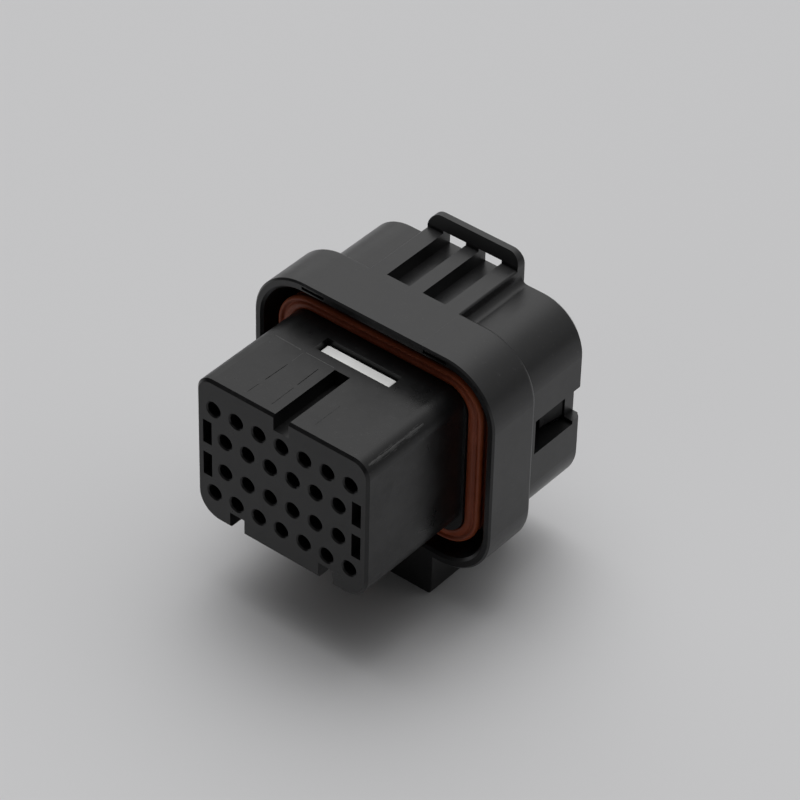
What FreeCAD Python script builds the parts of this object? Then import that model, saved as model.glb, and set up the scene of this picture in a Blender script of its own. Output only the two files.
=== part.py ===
import FreeCAD, Part
import Sketcher
import math
import os
import re

# A sealed cable-side connector for a vehicle loom, with four staggered rows of contacts.
# The origin is the middle of the contact field on the mating face. X is across the rows,
# Y runs from the mating face back to the wires, and Z is up. All sizes are millimetres.

SIZES = {
    # Contact field
    "pitch": 3.0,
    "row_count": 7,
    "outer_row": 5.5,
    "inner_row": 2.0,
    # Nose: the front cap that the mating shroud surrounds
    "nose_side_margin": 2.3,
    "nose_row_margin": 3.6,
    "nose_upper_corner": 2.0,
    "nose_lower_corner": 3.0,
    "nose_edge": 0.3,
    "block_length": 10.9,
    "face_thickness": 1.8,
    "pin_radius": 0.85,
    "pin_lead_in": 0.15,
    "cap_cavity": 2.2,
    "skirt_wall": 0.95,
    "core_gap": 0.1,
    # Keyways in the nose
    "key_length": 9.5,
    "upper_key_width": 2.0,
    "upper_key_depth": 1.9,
    "lower_key_inner": 4.95,
    "lower_key_width": 1.95,
    "lower_key_depth": 2.05,
    # Secondary lock
    "lock_thickness": 1.65,
    "lock_gap": 0.225,
    "lock_travel": 0.8,
    "lock_web": 1.2,
    "lock_floor_gap": 0.2,
    "lock_side_gap": 0.4,
    "tab_half_width": 4.7,
    "tab_corner": 0.5,
    "tab_edge": 0.2,
    "tab_recess": 0.5,
    "tab_side_gap": 0.2,
    # Clip arms that hold the front cap
    "clip_wall": 0.85,
    "clip_window_width": 1.18,
    "clip_window_low": 0.62,
    "clip_window_height": 2.98,
    "clip_window_depth": 2.6,
    "clip_gap": 0.1,
    "clip_shoulder": 0.3,
    "clip_thickness": 0.55,
    "clip_height_gap": 0.18,
    "clip_tip": 1.2,
    # Collar, seal seat and seal
    "collar_drop": 0.475,
    "rim_depth": 14.2,
    "collar_length": 6.9,
    "collar_depth": 5.7,
    "collar_side_wall": 1.05,
    "collar_height_wall": 1.175,
    "collar_corner": 6.5,
    "collar_edge": 0.5,
    "rim_edge": 0.2,
    "rim_lead_in": 0.3,
    "rim_slot_inner": 6.5,
    "rim_slot_length": 2.95,
    "rim_slot_height": 0.35,
    "rim_slot_wall": 0.35,
    "rim_slot_depth": 1.0,
    "seat_recess": 0.85,
    "seat_side_step": 0.35,
    "seat_height_step": 0.4,
    "seal_gap": 0.05,
    "seal_side_thickness": 1.8,
    "seal_height_thickness": 1.45,
    "seal_corner": 4.5,
    "seal_relief": 0.9,
    "seal_lip_count": 3,
    "seal_lip_width": 0.9,
    "seal_lip_height": 0.35,
    "seal_lip_edge": 0.3,
    "mating_side_gap": 1.3,
    "mating_height_gap": 1.35,
    "core_corner": 1.2,
    "core_cavity": 2.3,
    # Rear body
    "rear_length": 10.4,
    "rear_side_step": 1.65,
    "rear_height_step": 1.775,
    "rear_corner": 5.5,
    "rear_edge": 0.5,
    "rear_wall": 1.6,
    "partition": 2.6,
    # Latch rails and bridge on top
    "latch_half_width": 5.95,
    "latch_foot_radius": 0.9,
    "latch_edge": 0.25,
    "centre_rail_width": 1.7,
    "side_rail_width": 2.1,
    "bridge_height": 1.75,
    "bridge_thickness": 1.2,
    "bridge_slope": 0.45,
    "bridge_clear": 0.35,
    "bridge_corner": 1.5,
    # Side windows for the rear cover
    "window_start": 2.4,
    "window_half_height": 2.2,
    "web_length": 1.5,
    "web_thickness": 0.5,
    "notch_step": 0.4,
    "latch_room": 0.5,
    "latch_wall": 0.8,
    "latch_wall_end": 0.15,
    # Foot with clip rails
    "foot_half_width": 8.57,
    "foot_height": 5.0,
    "foot_length": 12.8,
    "foot_corner": 0.5,
    "foot_front_wall": 1.5,
    "foot_side_wall": 1.3,
    "foot_top_wall": 1.2,
    "foot_lip_thickness": 1.3,
    "foot_lip_width": 3.3,
    # Wire seal
    "mat_gap": 0.1,
    "mat_hole_radius": 0.7,
    "mat_lip_height": 0.4,
    "mat_lip_width": 1.0,
    "mat_lip_count": 3,
    # Rear cover
    "cover_thickness": 2.6,
    "cover_recess": 0.5,
    "cover_gap": 0.15,
    "cover_hole_radius": 1.1,
    "arm_thickness": 0.65,
    "arm_half_height": 1.6,
    "arm_slot": 0.5,
    "arm_root": 0.4,
    "arm_reach": 1.8,
    "barb_height": 0.45,
    "barb_length": 2.5,
    "barb_land": 0.2,
    "barb_gap": 0.1,
}

# Half widths and half heights, each from the piece inside it
OUTER_SIDE = "(pitch * (row_count - 1) / 2)"
INNER_SIDE = "(pitch * (row_count - 2) / 2)"
NOSE_SIDE = f"({OUTER_SIDE} + nose_side_margin)"
NOSE_HEIGHT = "(outer_row + nose_row_margin)"
SKIRT_SIDE = f"({NOSE_SIDE} - skirt_wall)"
SKIRT_HEIGHT = f"({NOSE_HEIGHT} - skirt_wall)"
CORE_SIDE = f"({SKIRT_SIDE} - core_gap)"
CORE_HEIGHT = f"({SKIRT_HEIGHT} - core_gap)"
SEAT_SIDE = f"({NOSE_SIDE} + seat_side_step)"
SEAT_HEIGHT = f"({NOSE_HEIGHT} + seat_height_step)"
SEAL_SIDE = f"({SEAT_SIDE} + seal_gap + seal_side_thickness)"
SEAL_HEIGHT = f"({SEAT_HEIGHT} + seal_gap + seal_height_thickness)"
HOLLOW_SIDE = f"({SEAL_SIDE} + mating_side_gap)"
HOLLOW_HEIGHT = f"({SEAL_HEIGHT} + mating_height_gap)"
COLLAR_SIDE = f"({HOLLOW_SIDE} + collar_side_wall)"
COLLAR_HEIGHT = f"({HOLLOW_HEIGHT} + collar_height_wall)"
REAR_SIDE = f"({COLLAR_SIDE} - rear_side_step)"
REAR_HEIGHT = f"({COLLAR_HEIGHT} - rear_height_step)"
POCKET_SIDE = f"({REAR_SIDE} - rear_wall)"
POCKET_HEIGHT = f"({REAR_HEIGHT} - rear_wall)"
COLLAR_TOP = f"({COLLAR_HEIGHT} - collar_drop)"
COLLAR_BOTTOM = f"(-{COLLAR_HEIGHT} - collar_drop)"
REAR_TOP = f"({REAR_HEIGHT} - collar_drop)"
REAR_BOTTOM = f"(-{REAR_HEIGHT} - collar_drop)"

# Depths behind the mating face
CORE_FRONT = "(block_length + lock_thickness + 2 * lock_gap)"
SEAT_FRONT = "(rim_depth + seat_recess)"
COLLAR_FLOOR = "(rim_depth + collar_depth)"
COLLAR_REAR = "(rim_depth + collar_length)"
POCKET_FRONT = f"({COLLAR_FLOOR} + partition)"
REAR_END = f"({COLLAR_REAR} + rear_length)"
COVER_REAR = f"({REAR_END} - cover_recess)"
COVER_FRONT = f"({COVER_REAR} - cover_thickness)"
ARM_ROOT = f"({COVER_REAR} - arm_root)"
ARM_TIP = f"({COVER_FRONT} - arm_reach)"
WEB_FRONT = f"({REAR_END} - web_length)"

# Rear cover's arms, and the wall inside them that keeps the side windows blind
COVER_SIDE = f"({POCKET_SIDE} - cover_gap)"
COVER_HEIGHT = f"({POCKET_HEIGHT} - cover_gap)"
ARM_INNER = f"({COVER_SIDE} - arm_thickness)"
LATCH_WALL_OUTER = f"({ARM_INNER} - latch_room)"
LATCH_WALL_INNER = f"({LATCH_WALL_OUTER} - latch_wall)"
LATCH_WALL_HEIGHT = "(window_half_height + latch_wall)"

# Clip arms and the windows in the nose that they reach through
CLIP_WINDOW_OUTER = f"({NOSE_SIDE} - clip_wall)"
CLIP_WINDOW_INNER = f"({CLIP_WINDOW_OUTER} - clip_window_width)"
CLIP_SLOT_OUTER = f"({CLIP_WINDOW_OUTER} - clip_shoulder)"
CLIP_OUTER = f"({CLIP_SLOT_OUTER} - clip_gap)"
CLIP_INNER = f"({CLIP_OUTER} - clip_thickness)"
CLIP_HOOK = f"({CLIP_WINDOW_OUTER} - clip_gap)"
CLIP_WINDOW_HIGH = "(clip_window_low + clip_window_height)"

# Beyond a face that a cut has to clear
CLEAR = "1"

document = FreeCAD.newDocument("sealed_connector")
sheet = document.addObject("Spreadsheet::Sheet", "Sizes")
for row, (alias, size) in enumerate(SIZES.items(), 1):
    sheet.set(f"A{row}", alias)
    sheet.set(f"B{row}", str(size))
    sheet.setAlias(f"B{row}", alias)
document.recompute()


def bound(expression):
    """Turn the names of sizes into references to their cells."""
    return re.sub(r"[a-z_]+", lambda word: f"Sizes.{word.group()}", expression)


def value(expression):
    """The number that an expression of sizes gives now."""
    return float(sheet.evalExpression(bound(expression)))


def point(across, up):
    """A place on a sketch."""
    return FreeCAD.Vector(value(across), value(up), 0)


def origin_part(body, role):
    """One of a body's own planes or axes."""
    return next(item for item in body.Origin.OriginFeatures if item.Role == role)


def new_body(label):
    """An empty sub-part, placed at the shared origin."""
    body = document.addObject("PartDesign::Body", label)
    body.Label = label
    body.Placement = FreeCAD.Placement()
    return body


def sketch_on(body, name, role, offset):
    """A sketch on one of the body's planes, moved along that plane's normal."""
    sketch = body.newObject("Sketcher::SketchObject", name)
    sketch.AttachmentSupport = [(origin_part(body, role), "")]
    sketch.MapMode = "FlatFace"
    sketch.setExpression(".AttachmentOffset.Base.z", bound(offset))
    return sketch


def size_constraint(sketch, kind, where, expression):
    """Add a driving dimension to a sketch and bind it to the sheet."""
    number = sketch.addConstraint(Sketcher.Constraint(kind, *where, value(expression)))
    name = f"size{number}"
    sketch.renameConstraint(number, name)
    sketch.setExpression(f"Constraints.{name}", bound(expression))


def place_point(sketch, geometry, end, across, up):
    """Tie a point of a sketch to the sketch's origin, both ways."""
    size_constraint(sketch, "DistanceX", (-1, 1, geometry, end), across)
    size_constraint(sketch, "DistanceY", (-1, 1, geometry, end), up)


def corner_arc(entry, leave, corner):
    """The quarter circle that rounds a corner, and whether it runs from entry to leave."""
    centre = entry + leave - corner
    forward = (entry - centre).cross(leave - centre).z > 0
    first, last = (entry, leave) if forward else (leave, entry)
    angles = [math.atan2(end.y - centre.y, end.x - centre.x) for end in (first, last)]
    circle = Part.Circle(centre, FreeCAD.Vector(0, 0, 1), (entry - centre).Length)
    return Part.ArcOfCircle(circle, *angles), forward


def draw_loop(sketch, corners):
    """Draw a closed outline of level and upright lines. A corner is (across, up, radius or None)."""
    count = len(corners)
    places = [point(across, up) for across, up, radius in corners]
    entries = []
    leaves = []
    for index, (across, up, radius) in enumerate(corners):
        reach = value(radius) if radius else 0
        here = places[index]
        entries.append(here + (places[index - 1] - here).normalize() * reach)
        leaves.append(here + (places[(index + 1) % count] - here).normalize() * reach)
    first = sketch.GeometryCount
    for index in range(count):
        sketch.addGeometry(Part.LineSegment(leaves[index], entries[(index + 1) % count]))
    for index, (across, up, radius) in enumerate(corners):
        line = first + index
        line_before = first + (index - 1) % count
        if across == corners[(index + 1) % count][0]:
            sketch.addConstraint(Sketcher.Constraint("Vertical", line))
            size_constraint(sketch, "DistanceX", (-1, 1, line, 1), across)
        else:
            sketch.addConstraint(Sketcher.Constraint("Horizontal", line))
            size_constraint(sketch, "DistanceY", (-1, 1, line, 1), up)
        if radius:
            curve, forward = corner_arc(entries[index], leaves[index], places[index])
            arc = sketch.addGeometry(curve)
            start, end = (1, 2) if forward else (2, 1)
            sketch.addConstraint(Sketcher.Constraint("Tangent", line_before, 2, arc, start))
            sketch.addConstraint(Sketcher.Constraint("Tangent", arc, end, line, 1))
            size_constraint(sketch, "Radius", (arc,), radius)
        else:
            sketch.addConstraint(Sketcher.Constraint("Coincident", line_before, 2, line, 1))


def draw_polygon(sketch, corners):
    """Draw a closed outline of straight lines through placed corners."""
    count = len(corners)
    first = sketch.GeometryCount
    for index in range(count):
        ends = point(*corners[index]), point(*corners[(index + 1) % count])
        sketch.addGeometry(Part.LineSegment(*ends))
    for index in range(count):
        before = first + (index - 1) % count
        sketch.addConstraint(Sketcher.Constraint("Coincident", before, 2, first + index, 1))
        place_point(sketch, first + index, 1, *corners[index])


def draw_circle(sketch, across, up, radius):
    """Draw a circle with its centre placed."""
    circle = Part.Circle(point(across, up), FreeCAD.Vector(0, 0, 1), value(radius))
    number = sketch.addGeometry(circle)
    place_point(sketch, number, 3, across, up)
    size_constraint(sketch, "Radius", (number,), radius)


def draw_square(sketch, across, up, side):
    """Draw a square round a middle point."""
    half = f"{side} / 2"
    sides = [f"{across} - {half}", f"{across} + {half}", f"{up} - {half}", f"{up} + {half}"]
    draw_loop(sketch, rectangle(*sides))


def rectangle(left, right, bottom, top, lower_radius=None, upper_radius=None):
    """The corners of a rectangle, with their radii."""
    return [
        (left, bottom, lower_radius),
        (right, bottom, lower_radius),
        (right, top, upper_radius),
        (left, top, upper_radius),
    ]


def level_outline(half_width, half_height, radius):
    """A rounded rectangle about the middle of the collar."""
    bottom = f"-{half_height} - collar_drop"
    top = f"{half_height} - collar_drop"
    return rectangle(f"-{half_width}", half_width, bottom, top, radius, radius)


def both_sides(corners):
    """An outline on the right and its mirror image on the left."""
    mirrored = [(f"-({corner[0]})", *corner[1:]) for corner in corners]
    return [corners, mirrored]


def four_ways(left, right, bottom, top):
    """A rectangle on the right above the middle, and its three mirror images."""
    upper = both_sides(rectangle(left, right, bottom, top))
    lower = both_sides(rectangle(left, right, f"-{top}", f"-{bottom}"))
    return upper + lower


def extrude(body, kind, name, sketch, length, reversed_way=False, both_ways=False):
    """Pad or pocket a sketch, and stop if a pocket misses the solid."""
    before = body.Shape.Volume if kind == "Pocket" else 0
    feature = body.newObject(f"PartDesign::{kind}", name)
    feature.Profile = sketch
    feature.Reversed = reversed_way
    feature.Midplane = both_ways
    feature.setExpression("Length", bound(length))
    document.recompute()
    if kind == "Pocket" and feature.Shape.Volume >= before:
        raise RuntimeError(f"{name} in {body.Label} cuts nothing")
    return feature


def from_front(body, kind, name, start, end, *outlines):
    """Pad or pocket outlines seen from the mating side, from one depth to another."""
    sketch = sketch_on(body, f"{name}_outline", "XZ_Plane", f"-({start})")
    for corners in outlines:
        draw_loop(sketch, corners)
    return extrude(body, kind, name, sketch, f"{end} - {start}", kind == "Pad")


def from_above(body, kind, name, bottom, height, *polygons):
    """Pad or pocket polygons seen from above, from one level up."""
    sketch = sketch_on(body, f"{name}_outline", "XY_Plane", bottom)
    for corners in polygons:
        draw_polygon(sketch, corners)
    return extrude(body, kind, name, sketch, height, kind == "Pocket")


def mirror_feature(body, name, original, role):
    """Repeat a feature on the other side of one of the body's planes."""
    feature = body.newObject("PartDesign::Mirrored", name)
    feature.Originals = [original]
    feature.MirrorPlane = (origin_part(body, role), [""])
    body.Tip = feature
    document.recompute()


def repeat_feature(body, name, original, role, spacing, count):
    """Repeat a feature along one of the body's axes."""
    feature = body.newObject("PartDesign::LinearPattern", name)
    feature.Originals = [original]
    feature.Direction = (origin_part(body, role), [""])
    feature.Mode = "Spacing"
    feature.setExpression("Offset", bound(spacing))
    feature.setExpression("Occurrences", bound(count))
    body.Tip = feature
    document.recompute()


def contact_field(body, name, start, end, drop, draw, size):
    """Cut the same hole at every contact: the two outer rows, then the two inner rows."""
    rows = (
        ("outer", OUTER_SIDE, "outer_row", "row_count"),
        ("inner", INNER_SIDE, "inner_row", "row_count - 1"),
    )
    for label, side, height, count in rows:
        sketch = sketch_on(body, f"{name}_{label}_outline", "XZ_Plane", f"-({start})")
        draw(sketch, f"-{side}", f"{height} - {drop}", size)
        draw(sketch, f"-{side}", f"-{height} - {drop}", size)
        hole = extrude(body, "Pocket", f"{name}_{label}", sketch, f"{end} - {start}")
        repeat_feature(body, f"{name}_{label}_rows", hole, "X_Axis", "pitch", count)


def dress_edges(body, kind, name, size, chosen):
    """Fillet or chamfer the edges that a test chooses."""
    base = body.Tip
    edges = [f"Edge{number}" for number, edge in enumerate(base.Shape.Edges, 1) if chosen(edge)]
    feature = body.newObject(f"PartDesign::{kind}", name)
    feature.Base = (base, edges)
    feature.setExpression("Radius" if kind == "Fillet" else "Size", bound(size))
    document.recompute()


def at_depth(depth, reach=None):
    """A test for edges that lie wholly at a depth, and reach at least so far out to a side."""
    place = value(depth)

    def chosen(edge):
        box = edge.BoundBox
        level = abs(box.YMin - place) < 0.001 and abs(box.YMax - place) < 0.001
        return level and (reach is None or max(box.XMax, -box.XMin) > value(reach))

    return chosen


def make_front_cap():
    """The nose: one moulding with pin lead-ins, keyways, clip windows and the lock's window."""
    cap = new_body("front_cap")
    outline = rectangle(
        f"-{NOSE_SIDE}", NOSE_SIDE, f"-{NOSE_HEIGHT}", NOSE_HEIGHT,
        "nose_lower_corner", "nose_upper_corner",
    )
    from_front(cap, "Pad", "nose", "0", SEAT_FRONT, outline)
    dress_edges(cap, "Chamfer", "nose_front_edge", "nose_edge", at_depth("0"))
    skirt = rectangle(
        f"-{SKIRT_SIDE}", SKIRT_SIDE, f"-{SKIRT_HEIGHT}", SKIRT_HEIGHT,
        "core_corner + core_gap", "core_corner + core_gap",
    )
    from_front(cap, "Pocket", "skirt", "block_length", SEAT_FRONT, skirt)
    upper_key = rectangle(
        "-upper_key_width / 2", "upper_key_width / 2",
        f"{NOSE_HEIGHT} - upper_key_depth", f"{NOSE_HEIGHT} + {CLEAR}",
    )
    lower_key = rectangle(
        "lower_key_inner", "lower_key_inner + lower_key_width",
        f"-{NOSE_HEIGHT} - {CLEAR}", f"-{NOSE_HEIGHT} + lower_key_depth",
    )
    from_front(cap, "Pocket", "keyways", "0", "key_length", upper_key, *both_sides(lower_key))
    tab_hole = "(tab_half_width + tab_side_gap)"
    window = rectangle(f"-{tab_hole}", tab_hole, f"{SKIRT_HEIGHT} - {CLEAR}", f"{NOSE_HEIGHT} + {CLEAR}")
    from_front(cap, "Pocket", "lock_window", "block_length", CORE_FRONT, window)
    windows = four_ways(CLIP_WINDOW_INNER, CLIP_WINDOW_OUTER, "clip_window_low", CLIP_WINDOW_HIGH)
    from_front(cap, "Pocket", "clip_windows", "0", "clip_window_depth", *windows)
    slots = four_ways(CLIP_WINDOW_INNER, CLIP_SLOT_OUTER, "clip_window_low", CLIP_WINDOW_HIGH)
    from_front(cap, "Pocket", "clip_slots", "clip_window_depth", "block_length", *slots)
    contact_field(cap, "cavity", "face_thickness", "block_length", "0", draw_square, "cap_cavity")
    contact_field(cap, "pin_hole", "0", "face_thickness", "0", draw_circle, "pin_radius")

    def pin_mouth(edge):
        """The rim of a pin hole on the mating face."""
        return edge.Closed and edge.BoundBox.YMax < value("nose_edge") / 2

    dress_edges(cap, "Chamfer", "pin_lead_ins", "pin_lead_in", pin_mouth)
    return cap


def make_secondary_lock():
    """The plate behind the nose. Closed, its webs lie one travel low, across the contacts' shoulders."""
    lock = new_body("secondary_lock")
    side = f"({CLIP_INNER} - lock_side_gap)"
    bottom = f"-{SKIRT_HEIGHT} + lock_floor_gap"
    shoulder = "outer_row + lock_web"
    top = f"{NOSE_HEIGHT} - tab_recess"
    outline = [
        (f"-{side}", bottom, None),
        (side, bottom, None),
        (side, shoulder, None),
        ("tab_half_width", shoulder, None),
        ("tab_half_width", top, "tab_corner"),
        ("-tab_half_width", top, "tab_corner"),
        ("-tab_half_width", shoulder, None),
        (f"-{side}", shoulder, None),
    ]
    front = "(block_length + lock_gap)"
    rear = f"({front} + lock_thickness)"
    from_front(lock, "Pad", "plate", front, rear, outline)
    contact_field(lock, "opening", front, rear, "lock_travel", draw_square, "cap_cavity")

    def on_tab(edge):
        """An edge round the tab, on the plate's front or rear face."""
        box = edge.BoundBox
        root = value(shoulder)
        return box.YLength < 0.001 and box.ZMin > root - 0.001 and box.ZMax > root + 0.001

    dress_edges(lock, "Chamfer", "tab_edges", "tab_edge", on_tab)
    return lock


def make_interface_seal():
    """The lipped ring that seals against the mating shroud."""
    seal = new_body("interface_seal")
    front = f"({SEAT_FRONT} + seal_gap)"
    rear = f"({COLLAR_FLOOR} - seal_relief)"
    valley = level_outline(
        f"({SEAL_SIDE} - seal_lip_height)", f"({SEAL_HEIGHT} - seal_lip_height)",
        "seal_corner - seal_lip_height",
    )
    from_front(seal, "Pad", "ring", front, rear, valley)
    crest = level_outline(SEAL_SIDE, SEAL_HEIGHT, "seal_corner")
    lip = from_front(seal, "Pad", "lip", front, f"{front} + seal_lip_width", crest)
    spacing = f"({rear} - {front} - seal_lip_width) / (seal_lip_count - 1)"
    repeat_feature(seal, "lips", lip, "Y_Axis", spacing, "seal_lip_count")

    def on_crest(edge):
        """An edge on the outer side of a lip."""
        middle = edge.valueAt((edge.FirstParameter + edge.LastParameter) / 2)
        box = edge.BoundBox
        across = abs(middle.x) / value(SEAL_SIDE)
        up = abs(middle.z + value("collar_drop")) / value(SEAL_HEIGHT)
        corner = isinstance(edge.Curve, Part.Circle) and edge.Curve.Radius > value("seal_corner") - 0.01
        return box.YLength < 0.001 and (corner or max(across, up) > 0.9999)

    dress_edges(seal, "Chamfer", "lip_edges", "seal_lip_edge", on_crest)
    bore = level_outline(
        f"({SEAT_SIDE} + seal_gap)", f"({SEAT_HEIGHT} + seal_gap)", "seal_corner - seal_side_thickness"
    )
    from_front(seal, "Pocket", "bore", front, rear, bore)
    return seal


def pocket_outline(gap):
    """The rear pocket's outline with its latch walls, drawn in by a gap all round."""
    side = f"({POCKET_SIDE} - {gap})"
    waist = f"({LATCH_WALL_INNER} - {gap})"
    bottom = f"-({POCKET_HEIGHT} - {gap}) - collar_drop"
    top = f"({POCKET_HEIGHT} - {gap}) - collar_drop"
    low = f"-({LATCH_WALL_HEIGHT} + {gap}) - collar_drop"
    high = f"({LATCH_WALL_HEIGHT} + {gap}) - collar_drop"
    corner = f"rear_corner - rear_wall - {gap}"
    return [
        (f"-{side}", bottom, corner),
        (side, bottom, corner),
        (side, low, None),
        (waist, low, None),
        (waist, high, None),
        (side, high, None),
        (side, top, corner),
        (f"-{side}", top, corner),
        (f"-{side}", high, None),
        (f"-{waist}", high, None),
        (f"-{waist}", low, None),
        (f"-{side}", low, None),
    ]


def make_wire_seal():
    """The mat that seals round every wire, with lips that seal in the rear pocket."""
    mat = new_body("wire_seal")
    front = f"({POCKET_FRONT} + mat_gap)"
    rear = f"({COVER_FRONT} - mat_gap)"
    from_front(mat, "Pad", "mat", front, rear, pocket_outline("(mat_gap + mat_lip_height)"))
    lip = from_front(mat, "Pad", "lip", front, f"{front} + mat_lip_width", pocket_outline("mat_gap"))
    spacing = f"({rear} - {front} - mat_lip_width) / (mat_lip_count - 1)"
    repeat_feature(mat, "lips", lip, "Y_Axis", spacing, "mat_lip_count")
    contact_field(mat, "wire_hole", front, rear, "0", draw_circle, "mat_hole_radius")
    return mat


def make_rear_cover():
    """The grid that holds the mat in, with a sprung barb on each side."""
    cover = new_body("rear_cover")
    plate = level_outline(COVER_SIDE, COVER_HEIGHT, "rear_corner - rear_wall - cover_gap")
    from_front(cover, "Pad", "plate", COVER_FRONT, COVER_REAR, plate)
    reach = "(arm_half_height + arm_slot)"
    gap = rectangle(
        LATCH_WALL_OUTER, f"{COVER_SIDE} + {CLEAR}", f"-{reach} - collar_drop", f"{reach} - collar_drop"
    )
    from_front(cover, "Pocket", "arm_gaps", COVER_FRONT, ARM_ROOT, *both_sides(gap))
    arm = rectangle(
        ARM_INNER, COVER_SIDE, "-arm_half_height - collar_drop", "arm_half_height - collar_drop"
    )
    from_front(cover, "Pad", "arms", ARM_TIP, ARM_ROOT, *both_sides(arm))
    catch = f"({WEB_FRONT} - barb_gap)"
    barb = [
        (f"{COVER_SIDE} - arm_thickness / 2", f"{catch} - barb_length"),
        (COVER_SIDE, f"{catch} - barb_length"),
        (f"{COVER_SIDE} + barb_height", f"{catch} - barb_land"),
        (f"{COVER_SIDE} + barb_height", catch),
        (f"{COVER_SIDE} - arm_thickness / 2", catch),
    ]
    bottom = "-arm_half_height - collar_drop"
    from_above(cover, "Pad", "barbs", bottom, "2 * arm_half_height", *both_sides(barb))
    contact_field(cover, "wire_hole", COVER_FRONT, COVER_REAR, "0", draw_circle, "cover_hole_radius")
    return cover


def add_outer_forms(housing):
    """The solid outside of the housing: collar, rear body and the foot under both."""
    collar = level_outline(COLLAR_SIDE, COLLAR_HEIGHT, "collar_corner")
    from_front(housing, "Pad", "collar", "rim_depth", COLLAR_REAR, collar)
    dress_edges(housing, "Fillet", "collar_rear_edge", "collar_edge", at_depth(COLLAR_REAR))
    dress_edges(housing, "Chamfer", "collar_rim_edge", "rim_edge", at_depth("rim_depth"))
    rear_body = level_outline(REAR_SIDE, REAR_HEIGHT, "rear_corner")
    from_front(housing, "Pad", "rear_body", COLLAR_FLOOR, REAR_END, rear_body)
    dress_edges(housing, "Chamfer", "rear_end_edge", "rear_edge", at_depth(REAR_END))
    foot = rectangle(
        "-foot_half_width", "foot_half_width",
        f"{COLLAR_BOTTOM} - foot_height", f"{REAR_BOTTOM} + rear_wall / 2", "foot_corner",
    )
    from_front(housing, "Pad", "foot", "rim_depth", "rim_depth + foot_length", foot)


def add_latch_rails(housing):
    """Three rails on top, level with the collar, that run back under a raised bridge."""
    skirt = "(latch_half_width + 1.5 * latch_foot_radius)"
    low = f"{REAR_TOP} - rear_wall / 2"
    rails = [
        (f"-{skirt}", low, None),
        (skirt, low, None),
        (skirt, REAR_TOP, None),
        ("latch_half_width", REAR_TOP, "latch_foot_radius"),
        ("latch_half_width", COLLAR_TOP, "latch_edge"),
        ("-latch_half_width", COLLAR_TOP, "latch_edge"),
        ("-latch_half_width", REAR_TOP, "latch_foot_radius"),
        (f"-{skirt}", REAR_TOP, None),
    ]
    from_front(housing, "Pad", "rails", f"({COLLAR_REAR} - collar_edge)", f"({REAR_END} - rear_edge)", rails)
    rail_ends = rectangle("-latch_half_width", "latch_half_width", low, COLLAR_TOP, None, "latch_edge")
    from_front(housing, "Pad", "rail_ends", f"({REAR_END} - 2 * rear_edge)", REAR_END, rail_ends)
    bridge_top = f"({COLLAR_TOP} + bridge_height)"
    bridge_front = f"({REAR_END} - bridge_thickness)"
    bar = rectangle(
        "-latch_half_width", "latch_half_width", f"{COLLAR_TOP} - latch_edge", bridge_top,
        None, "bridge_corner",
    )
    from_front(housing, "Pad", "bridge", bridge_front, REAR_END, bar)
    bridge_floor = f"{COLLAR_TOP} + bridge_clear"
    slope = sketch_on(housing, "bridge_slope_outline", "YZ_Plane", "0")
    draw_polygon(slope, [
        (bridge_front, bridge_floor),
        (f"{bridge_front} + bridge_slope", bridge_top),
        (f"{bridge_front} + bridge_slope", f"{bridge_top} + {CLEAR}"),
        (f"{bridge_front} - {CLEAR}", f"{bridge_top} + {CLEAR}"),
        (f"{bridge_front} - {CLEAR}", bridge_floor),
    ])
    extrude(housing, "Pocket", "bridge_slope", slope, "3 * latch_half_width", both_ways=True)
    gap = rectangle(
        "centre_rail_width / 2", "latch_half_width - side_rail_width", REAR_TOP, bridge_floor
    )
    from_front(housing, "Pocket", "rail_gaps", COLLAR_REAR, f"({REAR_END} + {CLEAR})", *both_sides(gap))


def cut_collar(housing):
    """The annular space for the mating shroud, with the seal's seat and the core standing in it."""
    hollow = level_outline(HOLLOW_SIDE, HOLLOW_HEIGHT, "collar_corner - collar_side_wall")
    from_front(housing, "Pocket", "collar_hollow", "rim_depth", COLLAR_FLOOR, hollow)

    def inner_rim(edge):
        """An edge round the mouth of the hollow."""
        box = edge.BoundBox
        inside = max(box.XMax, -box.XMin) < value(HOLLOW_SIDE) + 0.001
        above = box.ZMax < value(f"{HOLLOW_HEIGHT} - collar_drop") + 0.001
        below = box.ZMin > value(f"-{HOLLOW_HEIGHT} - collar_drop") - 0.001
        return at_depth("rim_depth")(edge) and inside and above and below

    dress_edges(housing, "Chamfer", "rim_lead_in", "rim_lead_in", inner_rim)
    slot_top = f"({COLLAR_TOP} - rim_slot_wall)"
    slot = rectangle(
        "rim_slot_inner", "rim_slot_inner + rim_slot_length", f"{slot_top} - rim_slot_height", slot_top
    )
    slot_end = "rim_depth + rim_slot_depth"
    from_front(housing, "Pocket", "rim_slots", "rim_depth", slot_end, *both_sides(slot))
    seat = level_outline(SEAT_SIDE, SEAT_HEIGHT, "seal_corner - seal_side_thickness - seal_gap")
    from_front(housing, "Pad", "seal_seat", SEAT_FRONT, f"({COLLAR_FLOOR} + partition / 2)", seat)
    core = rectangle(
        f"-{CORE_SIDE}", CORE_SIDE, f"-{CORE_HEIGHT}", CORE_HEIGHT, "core_corner", "core_corner"
    )
    from_front(housing, "Pad", "core", CORE_FRONT, f"({SEAT_FRONT} + partition / 2)", core)


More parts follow.
